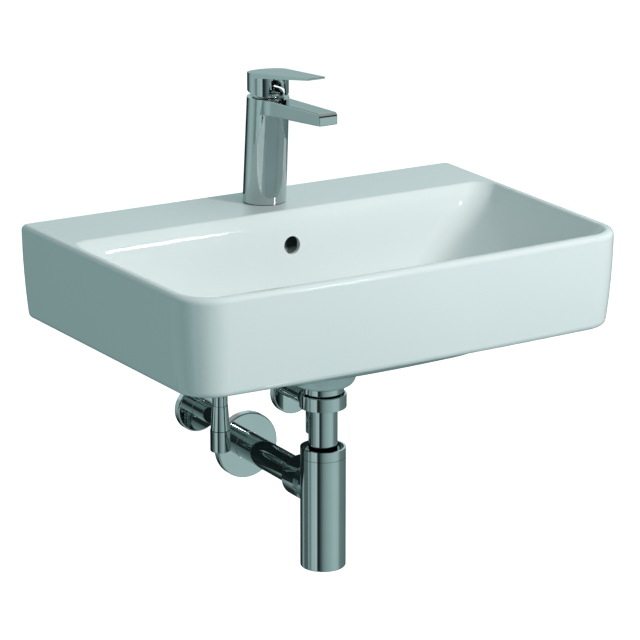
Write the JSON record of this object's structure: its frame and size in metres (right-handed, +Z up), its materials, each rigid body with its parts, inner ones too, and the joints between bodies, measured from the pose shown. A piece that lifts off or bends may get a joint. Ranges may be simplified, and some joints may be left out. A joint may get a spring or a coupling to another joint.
{
  "type": "wall-hung washbasin",
  "caption": "Wall-hung rectangular washbasin with a single-lever mixer tap, push-open waste, chromed bottle trap and angle valves.",
  "frame": {"origin": "midway between the two wall-bolt holes, on the wall plane", "axes": "X along the wall, +X to the right of someone facing the basin; +Y into the wall; +Z up"},
  "size_m": [0.5494, 0.395, 0.5451],
  "materials": {
    "glaze": "white glossy glaze",
    "chrome": "polished",
    "brass": "machined",
    "steel": "zinc plated",
    "rubber": "black",
    "cartridge_plastic": "white",
    "index_plastic": "grey"
  },
  "bodies": {
    "fixed": {"basin": "glaze", "tap_body": "chrome", "tap_base_seal": "rubber", "cartridge": "cartridge_plastic", "cartridge_nut": "brass", "cartridge_cover": "chrome", "aerator_housing": "chrome", "aerator_insert": "cartridge_plastic", "fixing_stud": "brass", "fixing_pad": "rubber", "fixing_plate": "steel", "fixing_nut": "brass", "hot_tail": "chrome", "cold_tail": "chrome", "waste_body": "chrome", "waste_upper_seal": "rubber", "waste_lower_seal": "rubber", "waste_locknut": "chrome", "click_cartridge": "brass", "trap_union_nut": "chrome", "union_seal": "rubber", "dip_tube": "chrome", "trap_collar": "chrome", "collar_seal": "rubber", "trap_body": "chrome", "trap_base_plug": "chrome", "base_plug_seal": "rubber", "outlet_nut": "chrome", "outlet_seal": "rubber", "outlet_pipe": "chrome", "trap_rosette": "chrome", "hot_valve_rosette": "chrome", "hot_valve_body": "chrome", "hot_compression_nut": "chrome", "hot_ferrule": "brass", "cold_valve_rosette": "chrome", "cold_valve_body": "chrome", "cold_compression_nut": "chrome", "cold_ferrule": "brass"},
    "lever_swivel": {"lever_carrier": "cartridge_plastic", "stem_pin": "steel"},
    "lever": {"lever": "chrome", "lever_stem": "steel", "lever_screw": "steel", "index_plug": "index_plastic"},
    "plug": {"waste_plug": "chrome", "plug_seal": "rubber"},
    "hot_handle": {"hot_handle": "chrome", "hot_spindle": "brass"},
    "cold_handle": {"cold_handle": "chrome", "cold_spindle": "brass"}
  },
  "joints": [
    {"name": "lever_turn", "type": "hinge", "parent": "fixed", "child": "lever_swivel", "pos_m": [0, -0.059, 0.179], "axis": [0, 0, 1], "range_deg": [-45, 45]},
    {"name": "lever_lift", "type": "hinge", "parent": "lever_swivel", "child": "lever", "pos_m": [0, -0.059, 0.179], "axis": [-1, 0, 0], "range_deg": [0, 20]},
    {"name": "plug_slide", "type": "slide", "parent": "fixed", "child": "plug", "axis": [0, 0, 1], "range_m": [0, 0.008]},
    {"name": "hot_valve_turn", "type": "hinge", "parent": "fixed", "child": "hot_handle", "pos_m": [-0.062, -0.056, -0.2], "axis": [0, 0, 1], "range_deg": [0, 90]},
    {"name": "cold_valve_turn", "type": "hinge", "parent": "fixed", "child": "cold_handle", "pos_m": [0.062, -0.056, -0.2], "axis": [0, 0, 1], "range_deg": [0, 90]}
  ]
}
